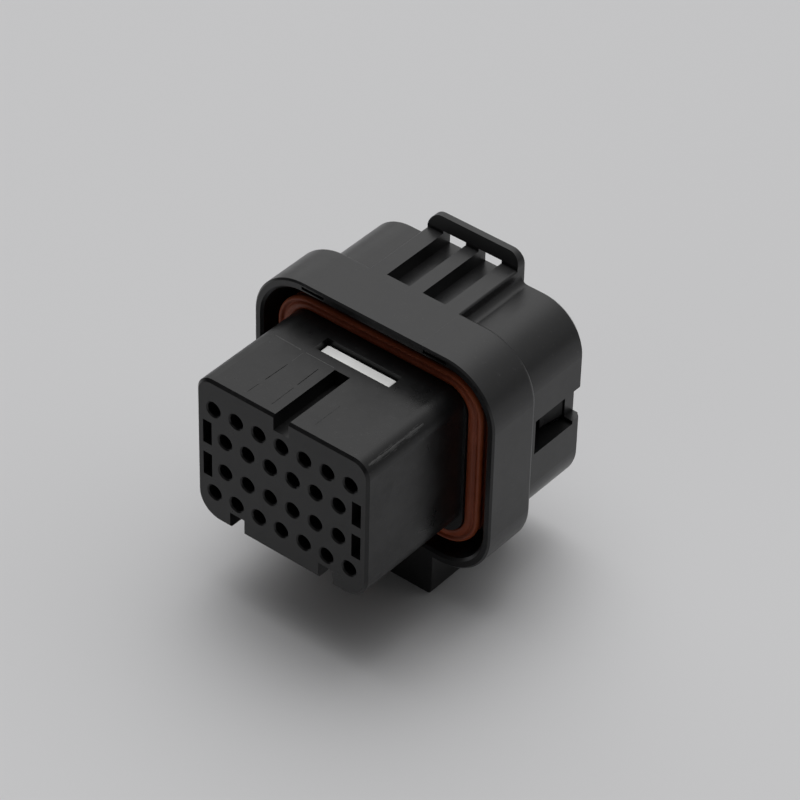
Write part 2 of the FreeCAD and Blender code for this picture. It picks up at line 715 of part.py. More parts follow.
def add_clip_arms(housing):
    """Four sprung arms that run forward from the core and hook into the nose."""
    hook_end = "(clip_window_depth - clip_gap)"
    arm = [
        (CLIP_INNER, "clip_tip"),
        (CLIP_OUTER, "clip_tip"),
        (CLIP_HOOK, f"{hook_end} - clip_shoulder"),
        (CLIP_HOOK, hook_end),
        (CLIP_OUTER, hook_end),
        (CLIP_OUTER, f"{CORE_FRONT} + {CLEAR}"),
        (CLIP_INNER, f"{CORE_FRONT} + {CLEAR}"),
    ]
    bottom = "clip_window_low + clip_height_gap"
    height = "clip_window_height - 2 * clip_height_gap"
    upper = from_above(housing, "Pad", "clip_arms", bottom, height, *both_sides(arm))
    mirror_feature(housing, "lower_clip_arms", upper, "XY_Plane")


def cut_rear(housing):
    """The pocket for the mat and rear cover, and the side windows that the cover's barbs catch in."""
    pocket = level_outline(POCKET_SIDE, POCKET_HEIGHT, "rear_corner - rear_wall")
    from_front(housing, "Pocket", "rear_pocket", POCKET_FRONT, REAR_END, pocket)
    windows = sketch_on(housing, "side_window_outline", "YZ_Plane", "0")
    bottom = "-window_half_height - collar_drop"
    top = "window_half_height - collar_drop"
    draw_loop(windows, rectangle(f"{COLLAR_REAR} + window_start", WEB_FRONT, bottom, top))
    extrude(housing, "Pocket", "side_windows", windows, f"2 * ({REAR_SIDE} + {CLEAR})", both_ways=True)
    joint = f"({POCKET_SIDE} + rear_wall / 4)"
    outer_low = f"-{LATCH_WALL_HEIGHT} - collar_drop"
    outer_high = f"{LATCH_WALL_HEIGHT} - collar_drop"
    latch_wall = [
        (LATCH_WALL_INNER, outer_low, None),
        (joint, outer_low, None),
        (joint, bottom, None),
        (LATCH_WALL_OUTER, bottom, None),
        (LATCH_WALL_OUTER, top, None),
        (joint, top, None),
        (joint, outer_high, None),
        (LATCH_WALL_INNER, outer_high, None),
    ]
    start = f"({POCKET_FRONT} - partition / 4)"
    end = f"({COVER_FRONT} - latch_wall_end)"
    from_front(housing, "Pad", "latch_walls", start, end, *both_sides(latch_wall))
    notch = sketch_on(housing, "side_notch_outline", "YZ_Plane", f"{POCKET_SIDE} + web_thickness")
    behind = f"{REAR_END} + {CLEAR}"
    draw_loop(notch, rectangle(f"{WEB_FRONT} - {CLEAR}", behind, f"{bottom} + notch_step", top))
    right = extrude(housing, "Pocket", "side_notch", notch, f"rear_wall - web_thickness + {CLEAR}", True)
    mirror_feature(housing, "left_side_notch", right, "YZ_Plane")


def cut_foot(housing):
    """The channel in the foot, with inward lips, that slides on a mounting clip."""
    bottom = f"({COLLAR_BOTTOM} - foot_height)"
    lip_top = f"{bottom} + foot_lip_thickness"
    roof = f"{COLLAR_BOTTOM} - foot_top_wall"
    side = "(foot_half_width - foot_side_wall)"
    gap = f"({side} - foot_lip_width)"
    channel = [
        (f"-{gap}", f"{bottom} - {CLEAR}", None),
        (gap, f"{bottom} - {CLEAR}", None),
        (gap, lip_top, None),
        (side, lip_top, None),
        (side, roof, None),
        (f"-{side}", roof, None),
        (f"-{side}", lip_top, None),
        (f"-{gap}", lip_top, None),
    ]
    end = f"(rim_depth + foot_length + {CLEAR})"
    from_front(housing, "Pocket", "foot_channel", "(rim_depth + foot_front_wall)", end, channel)


def make_housing():
    """The main moulding, from its outer forms to the cavities through its core."""
    housing = new_body("housing")
    add_outer_forms(housing)
    add_latch_rails(housing)
    cut_collar(housing)
    add_clip_arms(housing)
    cut_rear(housing)
    cut_foot(housing)
    contact_field(housing, "cavity", CORE_FRONT, POCKET_FRONT, "0", draw_square, "core_cavity")
    return housing


bodies = [
    make_housing(),
    make_front_cap(),
    make_secondary_lock(),
    make_interface_seal(),
    make_wire_seal(),
    make_rear_cover(),
]
document.recompute()
for item in document.Objects:
    if {"Invalid", "Error"} & set(item.State):
        raise RuntimeError(f"{item.Label} failed: {item.State}")
for body in bodies:
    if body.Shape.isNull() or not body.Shape.isValid():
        raise RuntimeError(f"{body.Label} has no valid shape")
os.makedirs("parts", exist_ok=True)
for body in bodies:
    body.Shape.exportStep(f"parts/{body.Label}.step")
    print(f"{body.Label}: {len(body.Shape.Solids)} solid, {body.Shape.Volume:.1f} cubic mm")
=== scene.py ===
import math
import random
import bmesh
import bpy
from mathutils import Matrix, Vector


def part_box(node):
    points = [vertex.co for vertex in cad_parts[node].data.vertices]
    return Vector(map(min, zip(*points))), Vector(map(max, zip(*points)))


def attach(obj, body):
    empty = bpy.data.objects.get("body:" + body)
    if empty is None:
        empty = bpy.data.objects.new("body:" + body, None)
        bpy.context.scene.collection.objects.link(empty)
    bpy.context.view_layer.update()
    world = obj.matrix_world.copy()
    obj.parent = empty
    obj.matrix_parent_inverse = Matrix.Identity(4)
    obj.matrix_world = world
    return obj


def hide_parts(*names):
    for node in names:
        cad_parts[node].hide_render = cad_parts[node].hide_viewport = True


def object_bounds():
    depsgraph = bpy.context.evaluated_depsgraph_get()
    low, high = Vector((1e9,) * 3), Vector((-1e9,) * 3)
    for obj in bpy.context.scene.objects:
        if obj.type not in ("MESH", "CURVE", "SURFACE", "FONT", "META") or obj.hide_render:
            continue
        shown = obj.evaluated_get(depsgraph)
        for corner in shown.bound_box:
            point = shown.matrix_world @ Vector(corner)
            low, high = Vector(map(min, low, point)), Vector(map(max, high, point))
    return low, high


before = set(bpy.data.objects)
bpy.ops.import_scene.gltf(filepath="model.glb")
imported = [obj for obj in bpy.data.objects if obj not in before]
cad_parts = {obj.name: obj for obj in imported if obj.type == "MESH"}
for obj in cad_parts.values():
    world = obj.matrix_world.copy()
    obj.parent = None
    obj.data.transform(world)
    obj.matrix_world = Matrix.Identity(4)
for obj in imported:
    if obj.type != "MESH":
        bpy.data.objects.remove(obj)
cad_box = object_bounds()

# %% [markdown]
# # A sealed multi-way connector
# The real object is a cable-side connector of a vehicle loom, about 32 mm wide. Its housing, nose
# and rear cover are black glass-filled plastic, a red-brown silicone ring seals it inside the
# collar, and a white plate behind the nose locks the contacts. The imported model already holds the
# moulded pieces at their real size. So this lesson gives them their finish, makes both soft seals
# anew, adds the fine lines that the moulding tool leaves, and sets the light and the camera.

MM = 0.001


def millimetres(box):
    """A box's size in millimetres, for printing."""
    low, high = box
    return [round((b - a) / MM, 2) for a, b in zip(low, high)]


print("whole connector, mm:", millimetres(cad_box))

# %% [markdown]
# ## Camera
# The picture looks down on the mating side from the right. A long lens at about 0.38 m gives the
# gentle perspective. An azimuth, an elevation and a small roll are easier to read than a matrix,
# so the camera's place and turn are worked out from them.

# %% Camera
AZIMUTH = math.radians(38.41)
ELEVATION = math.radians(39.31)
ROLL = math.radians(-1.46)
DISTANCE = 0.38234
LENS = 170.82
SENSOR_WIDTH = 36.0
NEAR_LIMIT = 0.01
AIM = Vector((5.565, 11.913, 7.178)) * MM


def add_camera():
    """A camera that looks at AIM, level apart from a small roll."""
    outward = Vector((
        math.sin(AZIMUTH) * math.cos(ELEVATION),
        -math.cos(AZIMUTH) * math.cos(ELEVATION),
        math.sin(ELEVATION),
    ))
    camera = bpy.data.objects.new("camera", bpy.data.cameras.new("camera"))
    camera.data.lens = LENS
    camera.data.sensor_width = SENSOR_WIDTH
    camera.data.clip_start = NEAR_LIMIT
    turn = outward.to_track_quat("Z", "Y").to_matrix() @ Matrix.Rotation(-ROLL, 3, "Z")
    camera.matrix_world = Matrix.Translation(AIM + DISTANCE * outward) @ turn.to_4x4()
    bpy.context.collection.objects.link(camera)
    bpy.context.scene.camera = camera
    return camera


camera = add_camera()
print("camera at, mm:", [round(v / MM, 1) for v in camera.matrix_world.translation])

# %% [markdown]
# ## Floor
# The connector stands on its foot on a plain pale grey sheet that fills the view. One wide square
# is enough for that, because only its colour and the shadow on it are seen. The sheet is matt and
# has no gloss at all, so that it looks the same from every side.

# %% Floor
FLOOR_HALF_WIDTH = 3.0
FLOOR_GREY = 0.69
# The sheet is a touch bluer than a neutral grey
FLOOR_BLUE = 1.012 * FLOOR_GREY
FLOOR_ROUGHNESS = 0.9


def add_floor():
    """A wide level sheet under the foot."""
    sheet = bmesh.new()
    bmesh.ops.create_grid(sheet, x_segments=1, y_segments=1, size=FLOOR_HALF_WIDTH)
    bmesh.ops.translate(sheet, vec=(0, 0, cad_box[0][2]), verts=sheet.verts)
    mesh = bpy.data.meshes.new("floor")
    sheet.to_mesh(mesh)
    sheet.free()
    floor = bpy.data.objects.new("floor", mesh)
    bpy.context.collection.objects.link(floor)
    material = bpy.data.materials.new("pale_ground")
    material.use_nodes = True
    surface = material.node_tree.nodes["Principled BSDF"]
    surface.inputs["Base Color"].default_value = (FLOOR_GREY, FLOOR_GREY, FLOOR_BLUE, 1)
    surface.inputs["Roughness"].default_value = FLOOR_ROUGHNESS
    surface.inputs["Specular IOR Level"].default_value = 0.0
    mesh.materials.append(material)


add_floor()
print("floor at, mm:", round(cad_box[0][2] / MM, 2))

# %% [markdown]
# ## Light
# Black satin plastic has almost no colour of its own: what the eye reads is what it reflects. Its
# sides mirror the pale ground, and its tops mirror what stands behind it. So the light is a
# surround with a few soft patches: a large soft box overhead, which casts the shadow, its glow on
# the ceiling, two pale walls behind, and a dim room in front. Each patch fades as a power of the
# cosine of the angle from its middle, so that it leaves no hard edge on the object.

# %% Helper that joins two values in a node tree


def combine(tree, kind, first, second):
    """Join two values with a sum, a product or another operation."""
    node = tree.nodes.new("ShaderNodeMath")
    node.operation = kind
    for place, term in enumerate((first, second)):
        if isinstance(term, bpy.types.NodeSocket):
            tree.links.new(term, node.inputs[place])
        else:
            node.inputs[place].default_value = term
    return node.outputs["Value"]


# %% Surround
# Each patch of light has a direction, a strength, and a tightness that narrows it
LIGHT_PATCHES = {
    "soft box overhead": ((-0.15, 0.1, 0.985), 4.1, 17),
    "its glow on the ceiling behind": ((-0.05, 0.5, 0.86), 0.95, 6),
    "pale wall behind to the left": ((-0.62, 0.64, 0.45), 1.1, 8),
    "pale wall behind to the right": ((0.64, 0.64, 0.42), 0.5, 8),
    "dim room in front": ((0.0, -0.91, 0.42), 0.25, 8),
}


def add_surround():
    """A dark surround with soft patches of light."""
    world = bpy.data.worlds.new("surround")
    world.use_nodes = True
    tree = world.node_tree
    direction = tree.nodes.new("ShaderNodeTexCoord").outputs["Generated"]
    total = 0.0
    for towards, strength, tightness in LIGHT_PATCHES.values():
        facing = tree.nodes.new("ShaderNodeVectorMath")
        facing.operation = "DOT_PRODUCT"
        facing.inputs[1].default_value = Vector(towards).normalized()
        tree.links.new(direction, facing.inputs[0])
        ahead = combine(tree, "MAXIMUM", facing.outputs["Value"], 0.0)
        glow = combine(tree, "MULTIPLY", combine(tree, "POWER", ahead, tightness), strength)
        total = combine(tree, "ADD", glow, total)
    background = tree.nodes["Background"]
    background.inputs["Color"].default_value = (1, 1, 1, 1)
    tree.links.new(total, background.inputs["Strength"])
    bpy.context.scene.world = world
    bpy.context.scene.view_settings.view_transform = "Standard"


add_surround()
print("patches of light:", ", ".join(LIGHT_PATCHES))

# %% [markdown]
# ## Moulded plastic
# Glass-filled nylon comes out of the tool satin rather than shiny. Close up it has a fine
# spark-eroded texture, faint cloudy flow marks where the melt cooled at different speeds, and pale
# specks of glass fibre at the surface. Every black piece shares these effects, and so does the
# white lock. So they are one node group, whose inputs say how strong each effect is.

# %% Helpers for node trees
# A mix node has sockets for every kind of value, and those for colours are at these places
MIX_FACTOR, MIX_FIRST, MIX_SECOND, MIX_RESULT = 0, 6, 7, 2


def group_socket(tree, name, way, kind, default=None):
    """Add one named socket to a node group."""
    socket = tree.interface.new_socket(name=name, in_out=way, socket_type=kind)
    if default is not None:
        socket.default_value = default


def noise(tree, vector, scale, detail, rough):
    """A noise texture on a vector, with its factor as the result."""
    node = tree.nodes.new("ShaderNodeTexNoise")
    node.inputs["Scale"].default_value = scale
    node.inputs["Detail"].default_value = detail
    node.inputs["Roughness"].default_value = rough
    tree.links.new(vector, node.inputs["Vector"])
    return node.outputs["Fac"]


def spread(tree, source, band, result):
    """Map a band of a value on to another range, held at its ends. Ends may be sockets."""
    node = tree.nodes.new("ShaderNodeMapRange")
    tree.links.new(source, node.inputs["Value"])
    for name, end in zip(("From Min", "From Max", "To Min", "To Max"), (*band, *result)):
        if isinstance(end, bpy.types.NodeSocket):
            tree.links.new(end, node.inputs[name])
        else:
            node.inputs[name].default_value = end
    return node.outputs["Result"]


def mixed(tree, factor, first, second):
    """A mix of two colours, each a socket or three numbers."""
    node = tree.nodes.new("ShaderNodeMix")
    node.data_type = "RGBA"
    tree.links.new(factor, node.inputs[MIX_FACTOR])
    for place, colour in ((MIX_FIRST, first), (MIX_SECOND, second)):
        if isinstance(colour, bpy.types.NodeSocket):
            tree.links.new(colour, node.inputs[place])
        else:
            node.inputs[place].default_value = (*colour, 1)
    return node.outputs[MIX_RESULT]


def roughen(tree, surface, height, depth):
    """Feed a height to a surface's normal, as a grain so deep."""
    bump = tree.nodes.new("ShaderNodeBump")
    bump.inputs["Distance"].default_value = depth
    tree.links.new(height, bump.inputs["Height"])
    tree.links.new(bump.outputs["Normal"], surface.inputs["Normal"])


# %% Shared group for moulded plastic
# Each noise has its waves in a metre, its detail and its roughness
FLOW, SCUFF, FIBRE, SPARK = (160, 3, 0.5), (700, 6, 0.7), (2600, 4, 0.7), (5200, 2, 0.5)
# The flow marks darken and brighten the colour between these shares
FLOW_BAND, FLOW_SHADE = (0.3, 0.7), (0.86, 1.14)
# Only the peaks of the fibre noise reach the surface as specks
FIBRE_BAND = (0.62, 0.72)
# The mean of flow marks and scuffs makes the gloss uneven
WEAR_BAND = (0.35, 0.65)
SPARK_HEIGHT, FLOW_HEIGHT = 0.7, 0.6


def make_moulding_group():
    """Colour, roughness and height of a moulded plastic surface."""
    tree = bpy.data.node_groups.new("moulded_surface", "ShaderNodeTree")
    group_socket(tree, "Vector", "INPUT", "NodeSocketVector")
    group_socket(tree, "Plastic", "INPUT", "NodeSocketColor", (0.03, 0.03, 0.03, 1))
    group_socket(tree, "Speck", "INPUT", "NodeSocketColor", (0.1, 0.1, 0.1, 1))
    group_socket(tree, "Speck Amount", "INPUT", "NodeSocketFloat", 0.5)
    group_socket(tree, "Smoothest", "INPUT", "NodeSocketFloat", 0.35)
    group_socket(tree, "Roughest", "INPUT", "NodeSocketFloat", 0.5)
    group_socket(tree, "Colour", "OUTPUT", "NodeSocketColor")
    group_socket(tree, "Roughness", "OUTPUT", "NodeSocketFloat")
    group_socket(tree, "Height", "OUTPUT", "NodeSocketFloat")
    inside = tree.nodes.new("NodeGroupInput").outputs
    outside = tree.nodes.new("NodeGroupOutput").inputs
    flow, scuff, fibre, spark = (
        noise(tree, inside["Vector"], *kind) for kind in (FLOW, SCUFF, FIBRE, SPARK)
    )
    speck = spread(tree, fibre, FIBRE_BAND, (0.0, inside["Speck Amount"]))
    tint = tree.nodes.new("ShaderNodeHueSaturation")
    tree.links.new(mixed(tree, speck, inside["Plastic"], inside["Speck"]), tint.inputs["Color"])
    tree.links.new(spread(tree, flow, FLOW_BAND, FLOW_SHADE), tint.inputs["Value"])
    tree.links.new(tint.outputs["Color"], outside["Colour"])
    wear = combine(tree, "MULTIPLY", combine(tree, "ADD", flow, scuff), 0.5)
    gloss = spread(tree, wear, WEAR_BAND, (inside["Smoothest"], inside["Roughest"]))
    tree.links.new(gloss, outside["Roughness"])
    spark_part = combine(tree, "MULTIPLY", spark, SPARK_HEIGHT)
    flow_part = combine(tree, "MULTIPLY", flow, FLOW_HEIGHT)
    tree.links.new(combine(tree, "ADD", spark_part, flow_part), outside["Height"])
    return tree


moulded_surface = make_moulding_group()
print("group made:", moulded_surface.name, "with", len(moulded_surface.nodes), "nodes")

# %% [markdown]
# ## Plastics
# A plastic places the group with its own colour, specks, gloss and grain. The front cap is the
# darkest and has the most uneven gloss. The rear cover is duller, and the lock is a natural white.

# %% Plastics


def plastic(name, colour, speck, speck_amount, smoothest, roughest, grain_depth, sheen=0.5):
    """A moulded plastic with its own colours, gloss and depth of grain."""
    material = bpy.data.materials.new(name)
    material.use_nodes = True
    tree = material.node_tree
    surface = tree.nodes["Principled BSDF"]
    surface.inputs["Specular IOR Level"].default_value = sheen
    place = tree.nodes.new("ShaderNodeTexCoord")
    group = tree.nodes.new("ShaderNodeGroup")
    group.node_tree = moulded_surface
    tree.links.new(place.outputs["Object"], group.inputs["Vector"])
    group.inputs["Plastic"].default_value = (*colour, 1)
    group.inputs["Speck"].default_value = (*speck, 1)
    group.inputs["Speck Amount"].default_value = speck_amount
    group.inputs["Smoothest"].default_value = smoothest
    group.inputs["Roughest"].default_value = roughest
    tree.links.new(group.outputs["Colour"], surface.inputs["Base Color"])
    tree.links.new(group.outputs["Roughness"], surface.inputs["Roughness"])
    roughen(tree, surface, group.outputs["Height"], grain_depth)
    return material


PALE_SPECK = (0.05, 0.05, 0.05)
housing_black = plastic(
    "housing_black", colour=(0.010, 0.010, 0.0105), speck=PALE_SPECK, speck_amount=0.5,
    smoothest=0.27, roughest=0.38, grain_depth=0.004 * MM, sheen=0.43,
)
cap_black = plastic(
    "cap_black", colour=(0.0055, 0.0055, 0.0058), speck=PALE_SPECK, speck_amount=0.4,
    smoothest=0.25, roughest=0.42, grain_depth=0.005 * MM, sheen=0.34,
)
cover_black = plastic(
    "cover_black", colour=(0.008, 0.008, 0.0083), speck=PALE_SPECK, speck_amount=0.4,
    smoothest=0.4, roughest=0.5, grain_depth=0.005 * MM, sheen=0.3,
)
lock_white = plastic(
    "lock_white", colour=(0.90, 0.90, 0.89), speck=(0.95, 0.95, 0.94), speck_amount=0.3,
    smoothest=0.38, roughest=0.5, grain_depth=0.004 * MM,
)

# %% [markdown]
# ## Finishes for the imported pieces
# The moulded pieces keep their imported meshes, because their shape is already right. Only their
# materials are changed.

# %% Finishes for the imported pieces
FINISHES = {
    "housing": housing_black,
    "front_cap": cap_black,
    "rear_cover": cover_black,
    "secondary_lock": lock_white,
}
for node, material in FINISHES.items():
    for slot in bpy.data.objects[node].material_slots:
        slot.material = material
    print(node, "is finished in", material.name)

# %% [markdown]
# ## Silicone
# The seals are red-brown silicone: matt, with slow changes of tone and a faint dust. The grooves
# between the lips are darker than the crests: painted shade. Noise can't tell a crest from a
# groove, so each seal's mesh carries how far inward of the crest a point lies, and the material
# reads it.

# %% Silicone
INWARD = "inward"
SEAL_SHEEN = 0.3
# A little light enters the rubber and leaves it again this far away
GLOW_WEIGHT, GLOW_REACH = 0.05, 0.4 * MM
# Millimetres inward of the crest over which the colour darkens to the painted shade of the grooves
CREST_REACH = 0.35
DUST, PORES = (240, 4, 0.6), (4200, 3, 0.6)
DUST_BAND, DUST_AMOUNT = (0.42, 0.72), (0.0, 0.5)
PORE_BAND, PORE_AMOUNT = (0.35, 0.65), (0.4, 1.0)
PORE_DEPTH = 0.006 * MM
MATT_BAND, MATT_ROUGHNESS = (0.3, 0.7), (0.42, 0.6)


def silicone(name, crest, shaded_groove, dusty):
    """A matt rubber, with painted shade that darkens its grooves below its crests."""
    material = bpy.data.materials.new(name)
    material.use_nodes = True
    tree = material.node_tree
    surface = tree.nodes["Principled BSDF"]
    surface.inputs["Specular IOR Level"].default_value = SEAL_SHEEN
    surface.inputs["Subsurface Weight"].default_value = GLOW_WEIGHT
    surface.inputs["Subsurface Scale"].default_value = GLOW_REACH
    place = tree.nodes.new("ShaderNodeTexCoord").outputs["Object"]
    dust, pores = (noise(tree, place, *kind) for kind in (DUST, PORES))
    inward = tree.nodes.new("ShaderNodeAttribute")
    inward.attribute_name = INWARD
    depth = spread(tree, inward.outputs["Fac"], (0.0, CREST_REACH), (0.0, 1.0))
    patches = spread(tree, dust, DUST_BAND, DUST_AMOUNT)
    grains = spread(tree, pores, PORE_BAND, PORE_AMOUNT)
    cover = combine(tree, "MULTIPLY", patches, grains)
    # Painted shade: the colour darkens from the crest colour to the groove colour with the distance
    # inward
    shaded_tone = mixed(tree, depth, crest, shaded_groove)
    tree.links.new(mixed(tree, cover, shaded_tone, dusty), surface.inputs["Base Color"])
    tree.links.new(spread(tree, dust, MATT_BAND, MATT_ROUGHNESS), surface.inputs["Roughness"])
    roughen(tree, surface, pores, PORE_DEPTH)
    return material


# The darker groove colour is painted shade between the lips
seal_red = silicone(
    "seal_red", crest=(0.31, 0.066, 0.018), shaded_groove=(0.2, 0.038, 0.011), dusty=(0.36, 0.105, 0.055),
)
print("silicone made:", seal_red.name)

# %% [markdown]
# ## Soft pieces
# Both seals have rounded lips that run round a flat outline. Each lip is drawn as a few points of
# a section, which say how far inward of the crest and how deep a point lies. For every point, a
# flat polygon with bevelled corners gives one loop, and bridging each loop to the next makes the
# skin. A spin wouldn't do, because the outline isn't round, and the ring is thinner above and
# below than at its sides.

# %% Helpers for loops of a soft piece
CORNER_STEPS = 14
LIP_STEPS = 8
MERGE_DISTANCE = 0.0005 * MM


def lip(middle, half_width, height, crest):
    """Section points over one rounded lip, from its front foot to its rear foot."""
    turns = [math.pi * step / LIP_STEPS for step in range(LIP_STEPS + 1)]
    return [
        (crest + height * (1 - math.sin(turn)), middle - half_width * math.cos(turn))
        for turn in turns
    ]


def lips(front, rear, half_width, height, crests):
    """Section points over evenly spaced lips, whose crests lie so far inward."""
    step = (rear - front - 2 * half_width) / (len(crests) - 1)
    points = []
    for number, crest in enumerate(crests):
        points += lip(front + half_width + number * step, half_width, height - crest, crest)
    return points


def rounded_loop(mesh, corners, rounded, radius, inward, depth):
    """The edges of a flat polygon in X and Z, with some corners rounded."""
    vertices = [mesh.verts.new((x, depth, z)) for x, z in corners]
    mesh.faces.new(vertices)
    bevelled = bmesh.ops.bevel(
        mesh, geom=[vertices[place] for place in rounded], offset=radius, offset_type="OFFSET",
        affect="VERTICES", segments=CORNER_STEPS, profile=0.5, material=-1,
    )
    face = bevelled["verts"][0].link_faces[0]
    layer = mesh.verts.layers.float[INWARD]
    for vertex in face.verts:
        vertex[layer] = inward / MM
    edges = list(face.edges)
    bmesh.ops.delete(mesh, geom=[face], context="FACES_ONLY")
    return edges


def bridge(mesh, loops):
    """Join each loop of edges to the next."""
    for near, far in zip(loops, loops[1:]):
        bmesh.ops.bridge_loops(mesh, edges=near + far)


def finish_piece(name, mesh, material):
    """Turn a bmesh into a smooth piece that rides on the connector."""
    bmesh.ops.remove_doubles(mesh, verts=mesh.verts, dist=MERGE_DISTANCE)
    bmesh.ops.recalc_face_normals(mesh, faces=mesh.faces)
    for face in mesh.faces:
        face.smooth = True
    open_edges = sum(not edge.is_manifold for edge in mesh.edges)
    data = bpy.data.meshes.new(name)
    mesh.to_mesh(data)
    mesh.free()
    data.materials.append(material)
    piece = bpy.data.objects.new(name, data)
    bpy.context.collection.objects.link(piece)
    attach(piece, "connector")
    print(name, "has", len(data.polygons), "faces and", open_edges, "open edges")
    return piece


# %% [markdown]
# ## Seal ring
# The ring sits round the core inside the collar. Three lips on its outside press on the mating
# half, the middle one a little lower. Its front face, which the picture shows, has a rounded inner
# edge, a flat band, and a groove between that band and the first lip. Bridging the last loop to
# the first closes the bore.

# %% Seal ring
RING_SIDE_THICKNESS = 1.8 * MM
RING_HEIGHT_THICKNESS = 1.45 * MM
RING_CORNER = 4.5 * MM
RING_LIP_HALF_WIDTH = 0.45 * MM
RING_LIP_HEIGHT = 0.35 * MM
# How far inward of the outermost crest each lip's own crest lies
RING_LIP_CRESTS = (0.0, 0.2 * MM, 0.0)
# From the bore out to the first lip, as shares of the thickness and depths in millimetres
RING_FRONT = (
    (1.0, 0.28), (0.94, 0.1), (0.84, 0.03), (0.56, 0.03), (0.5, 0.12),
    (0.46, 0.3), (0.4, 0.34), (0.34, 0.26), (0.29, 0.1),
)
# From the last lip back to the bore, as shares of the thickness and distances from the rear
RING_REAR = ((0.92, 0.0), (1.0, 0.12))


def ring_section(front, rear):
    """Points once round the ring's section, from the bore over the lips and back."""
    bore = RING_SIDE_THICKNESS
    front_face = [(share * bore, front + depth * MM) for share, depth in RING_FRONT]
    outside = lips(front, rear, RING_LIP_HALF_WIDTH, RING_LIP_HEIGHT, RING_LIP_CRESTS)
    rear_face = [(share * bore, rear - depth * MM) for share, depth in RING_REAR]
    return front_face + outside + rear_face


def make_seal_ring():
    """The ring in the collar: three rounded lips outside, and a groove round its front face."""
    low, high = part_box("interface_seal")
    middle_z = (high.z + low.z) / 2
    mesh = bmesh.new()
    mesh.verts.layers.float.new(INWARD)
    loops = []
    for inward, depth in ring_section(low.y, high.y):
        side = high.x - inward
        top = (high.z - low.z) / 2 - inward * RING_HEIGHT_THICKNESS / RING_SIDE_THICKNESS
        quarters = (side, top), (-side, top), (-side, -top), (side, -top)
        corners = [(x, middle_z + z) for x, z in quarters]
        radius = RING_CORNER - inward
        loops.append(rounded_loop(mesh, corners, range(4), radius, inward, depth))
    bridge(mesh, loops + loops[:1])
    ring = finish_piece("seal_ring", mesh, seal_red)
    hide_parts("interface_seal")


make_seal_ring()

# %% [markdown]
# ## Wire mat
# Behind the cavities lies a silicone mat that seals every wire. Only the beads round its holes
# show, through the holes of the rear cover. Each hole is a section spun round the hole's axis,
# because cutting it from a block would give no rounded bead. The flat faces between the holes and
# the outline are filled with triangles.

# %% Wire mat
CONTACT_PITCH = 3.0 * MM
# Each row's height and how many contacts it has
CONTACT_ROWS = ((5.5 * MM, 7), (2.0 * MM, 6), (-2.0 * MM, 6), (-5.5 * MM, 7))
MAT_CORNER = 3.8 * MM
MAT_NOTCH = 2.1 * MM
MAT_NOTCH_HALF_HEIGHT = 3.1 * MM
# Places of the four outer corners in the notched outline
MAT_ROUNDED = (0, 5, 6, 11)
MAT_LIP_HALF_WIDTH = 0.5 * MM
MAT_LIP_HEIGHT = 0.4 * MM
MAT_LIP_CRESTS = (0.0, 0.0, 0.0)
MAT_FACE_RECESS = 0.3 * MM
HOLE_STEPS = 24
# From a hole's bead on the rear face to its throat, as radii and depths in millimetres
HOLE_SECTION = (
    (1.2, 0.3), (1.12, 0.12), (0.98, 0.0), (0.82, 0.1), (0.72, 0.3), (0.62, 1.0), (0.7, 1.7),
)
LEVEL_SLACK = 0.001 * MM


def mat_outline(side, top, inward):
    """Corners of the mat's outline, with a notch on each side."""
    waist, notch = side - MAT_NOTCH, MAT_NOTCH_HALF_HEIGHT + inward
    steps = [(side, notch), (waist, notch)]
    right = [(side, -top)] + [(x, -z) for x, z in steps] + steps[::-1] + [(side, top)]
    return right + [(-x, z) for x, z in reversed(right)]


def add_mat_hole(mesh, middle_x, middle_z, section):
    """Spin a section of radii and places along Y round one hole's axis."""
    line = [mesh.verts.new((middle_x + radius, y, middle_z)) for radius, y in section]
    edges = [mesh.edges.new(pair) for pair in zip(line, line[1:])]
    bmesh.ops.spin(
        mesh, geom=line + edges, cent=(middle_x, 0, middle_z), axis=(0, 1, 0),
        angle=2 * math.pi, steps=HOLE_STEPS, use_merge=True, use_duplicate=False,
    )


def fill_level(mesh, level):
    """Fill the flat area between the open rims at one place along Y."""
    rims = [
        edge for edge in mesh.edges
        if edge.is_boundary and abs(edge.verts[0].co.y - level) < LEVEL_SLACK
    ]
    bmesh.ops.triangle_fill(mesh, edges=rims, use_beauty=True, use_dissolve=False)


def make_wire_mat():
    """The mat behind the cavities: lips round its edge, and a raised bead round every hole."""
    low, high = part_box("wire_seal")
    middle_z, rear = (high.z + low.z) / 2, high.y - MAT_FACE_RECESS
    section = lips(low.y, high.y, MAT_LIP_HALF_WIDTH, MAT_LIP_HEIGHT, MAT_LIP_CRESTS)
    section.append((2 * MAT_LIP_HEIGHT, rear))
    mesh = bmesh.new()
    mesh.verts.layers.float.new(INWARD)
    loops = []
    for inward, depth in section:
        side, top = high.x - inward, (high.z - low.z) / 2 - inward
        corners = [(x, middle_z + z) for x, z in mat_outline(side, top, inward)]
        radius = MAT_CORNER - inward
        loops.append(rounded_loop(mesh, corners, MAT_ROUNDED, radius, inward, depth))
    bridge(mesh, loops)
    hole = [(radius * MM, high.y - depth * MM) for radius, depth in HOLE_SECTION]
    hole.append((hole[-1][0], low.y))
    for row, count in CONTACT_ROWS:
        for number in range(count):
            add_mat_hole(mesh, (number - (count - 1) / 2) * CONTACT_PITCH, row, hole)
    bmesh.ops.remove_doubles(mesh, verts=mesh.verts, dist=MERGE_DISTANCE)
    for level in (low.y, rear):
        fill_level(mesh, level)
    mat = finish_piece("wire_mat", mesh, seal_red)
    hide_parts("wire_seal")


make_wire_mat()

